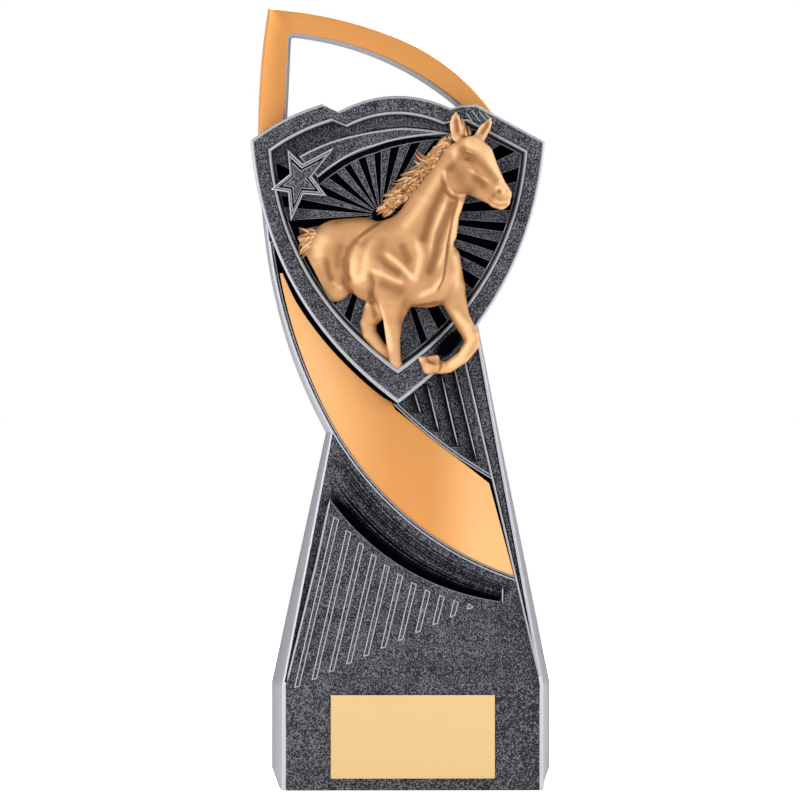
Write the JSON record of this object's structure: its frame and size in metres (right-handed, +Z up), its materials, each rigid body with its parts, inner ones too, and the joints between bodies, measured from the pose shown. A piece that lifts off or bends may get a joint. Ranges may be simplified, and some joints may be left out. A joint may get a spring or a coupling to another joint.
{
  "type": "equestrian trophy",
  "caption": "Tapering award column with a ribbon looped over its top, a shield carrying a running horse in relief, and a blank engraving plate on its plinth.",
  "frame": {"origin": "middle of the plinth's underside, on the surface that the trophy stands on", "axes": "+Z up, -Y out of the front with the shield and the plate, +X to the viewer's right when facing the front"},
  "size_m": [0.0922, 0.0551, 0.24],
  "materials": {
    "antique_pewter": "speckled antique pewter paint on cast resin, rubbed silver on its edges",
    "engraving_plate": "pale gold anodised sheet, blank"
  },
  "bodies": {
    "root": {"resin_casting": "antique_pewter", "engraving_plate": "engraving_plate"}
  },
  "joints": []
}
